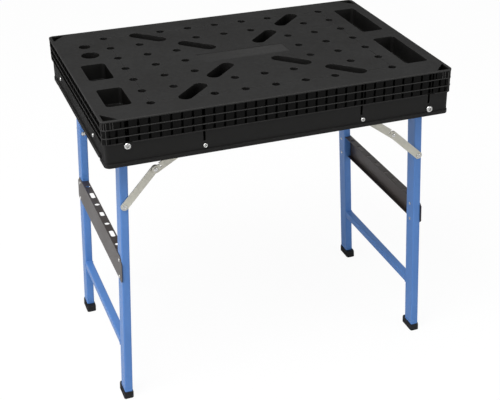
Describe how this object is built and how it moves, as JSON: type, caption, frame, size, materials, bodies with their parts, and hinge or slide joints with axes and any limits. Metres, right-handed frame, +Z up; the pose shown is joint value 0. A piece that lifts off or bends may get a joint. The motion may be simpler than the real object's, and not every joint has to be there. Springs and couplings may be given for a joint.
{
  "type": "folding work table",
  "caption": "Portable folding work table with a ribbed moulded top with dog holes, slots and trays, two fold-in tube leg frames with tool-holder rails, and folding lock braces.",
  "frame": {"origin": "on the floor under the middle of the worktop", "axes": "+Z up, +X along the long side to the user's right, -Y towards the user (front edge)"},
  "size_m": [0.86, 0.5852, 0.79],
  "materials": {
    "plastic_black": "fine moulded grain, satin",
    "blue_paint": "satin powder coat",
    "black_paint": "satin powder coat",
    "zinc_steel": "dull zinc plate",
    "zinc_bright": "bright zinc plate",
    "foot_rubber": "matt"
  },
  "bodies": {
    "top": {"worktop": "plastic_black", "bracket_fl": "zinc_steel", "bracket_bl": "zinc_steel", "bracket_fr": "zinc_steel", "bracket_br": "zinc_steel", "side_screws": "zinc_bright", "side_nuts": "zinc_bright", "pivot_bolts": "zinc_bright", "pivot_nuts": "zinc_bright", "pivot_sleeves": "zinc_steel", "brace_bolts": "zinc_bright", "brace_collars": "zinc_bright", "brace_sleeves": "zinc_steel"},
    "frame_left": {"leg_fl": "blue_paint", "leg_bl": "blue_paint", "crossbar_left": "blue_paint", "panel_left": "black_paint", "panel_rivets_left": "zinc_bright", "foot_fl": "foot_rubber", "foot_bl": "foot_rubber", "brace_rivets_left": "zinc_bright"},
    "brace_low_fl": {"link_low_fl": "zinc_steel", "mid_tail_fl": "zinc_bright"},
    "brace_up_fl": {"link_up_fl": "zinc_steel", "mid_rivet_fl": "zinc_bright"},
    "brace_low_bl": {"link_low_bl": "zinc_steel", "mid_tail_bl": "zinc_bright"},
    "brace_up_bl": {"link_up_bl": "zinc_steel", "mid_rivet_bl": "zinc_bright"},
    "frame_right": {"leg_fr": "blue_paint", "leg_br": "blue_paint", "crossbar_right": "blue_paint", "panel_right": "black_paint", "panel_rivets_right": "zinc_bright", "foot_fr": "foot_rubber", "foot_br": "foot_rubber", "brace_rivets_right": "zinc_bright"},
    "brace_low_fr": {"link_low_fr": "zinc_steel", "mid_tail_fr": "zinc_bright"},
    "brace_up_fr": {"link_up_fr": "zinc_steel", "mid_rivet_fr": "zinc_bright"},
    "brace_low_br": {"link_low_br": "zinc_steel", "mid_tail_br": "zinc_bright"},
    "brace_up_br": {"link_up_br": "zinc_steel", "mid_rivet_br": "zinc_bright"}
  },
  "joints": [
    {"name": "fold_left", "type": "hinge", "parent": "top", "child": "frame_left", "pos_m": [-0.374, 0, 0.724], "axis": [0, -1, 0], "range_deg": [0, 92.8]},
    {"name": "brace_low_fl_turn", "type": "hinge", "parent": "frame_left", "child": "brace_low_fl", "pos_m": [-0.3801, -0.238, 0.54809], "axis": [0, -1, 0], "range_deg": [0, 33.9]},
    {"name": "brace_up_fl_turn", "type": "hinge", "parent": "top", "child": "brace_up_fl", "pos_m": [-0.196, -0.2435, 0.695], "axis": [0, -1, 0], "range_deg": [-50.1, 0]},
    {"name": "brace_low_bl_turn", "type": "hinge", "parent": "frame_left", "child": "brace_low_bl", "pos_m": [-0.3801, 0.238, 0.54809], "axis": [0, -1, 0], "range_deg": [0, 33.9]},
    {"name": "brace_up_bl_turn", "type": "hinge", "parent": "top", "child": "brace_up_bl", "pos_m": [-0.196, 0.2435, 0.695], "axis": [0, -1, 0], "range_deg": [-50.1, 0]},
    {"name": "fold_right", "type": "hinge", "parent": "top", "child": "frame_right", "pos_m": [0.374, 0, 0.694], "axis": [0, 1, 0], "range_deg": [0, 92.8]},
    {"name": "brace_low_fr_turn", "type": "hinge", "parent": "frame_right", "child": "brace_low_fr", "pos_m": [0.38128, -0.238, 0.54518], "axis": [0, 1, 0], "range_deg": [0, 37.2]},
    {"name": "brace_up_fr_turn", "type": "hinge", "parent": "top", "child": "brace_up_fr", "pos_m": [0.196, -0.2435, 0.695], "axis": [0, 1, 0], "range_deg": [-41.4, 0]},
    {"name": "brace_low_br_turn", "type": "hinge", "parent": "frame_right", "child": "brace_low_br", "pos_m": [0.38128, 0.238, 0.54518], "axis": [0, 1, 0], "range_deg": [0, 37.2]},
    {"name": "brace_up_br_turn", "type": "hinge", "parent": "top", "child": "brace_up_br", "pos_m": [0.196, 0.2435, 0.695], "axis": [0, 1, 0], "range_deg": [-41.4, 0]}
  ],
  "couplings": [
    {"joint": "brace_low_fl_turn", "follows": "fold_left", "ratio": 0.3644},
    {"joint": "brace_up_fl_turn", "follows": "fold_left", "ratio": -0.53955},
    {"joint": "brace_low_bl_turn", "follows": "fold_left", "ratio": 0.3644},
    {"joint": "brace_up_bl_turn", "follows": "fold_left", "ratio": -0.53955},
    {"joint": "brace_low_fr_turn", "follows": "fold_right", "ratio": 0.4004},
    {"joint": "brace_up_fr_turn", "follows": "fold_right", "ratio": -0.44554},
    {"joint": "brace_low_br_turn", "follows": "fold_right", "ratio": 0.4004},
    {"joint": "brace_up_br_turn", "follows": "fold_right", "ratio": -0.44554}
  ]
}
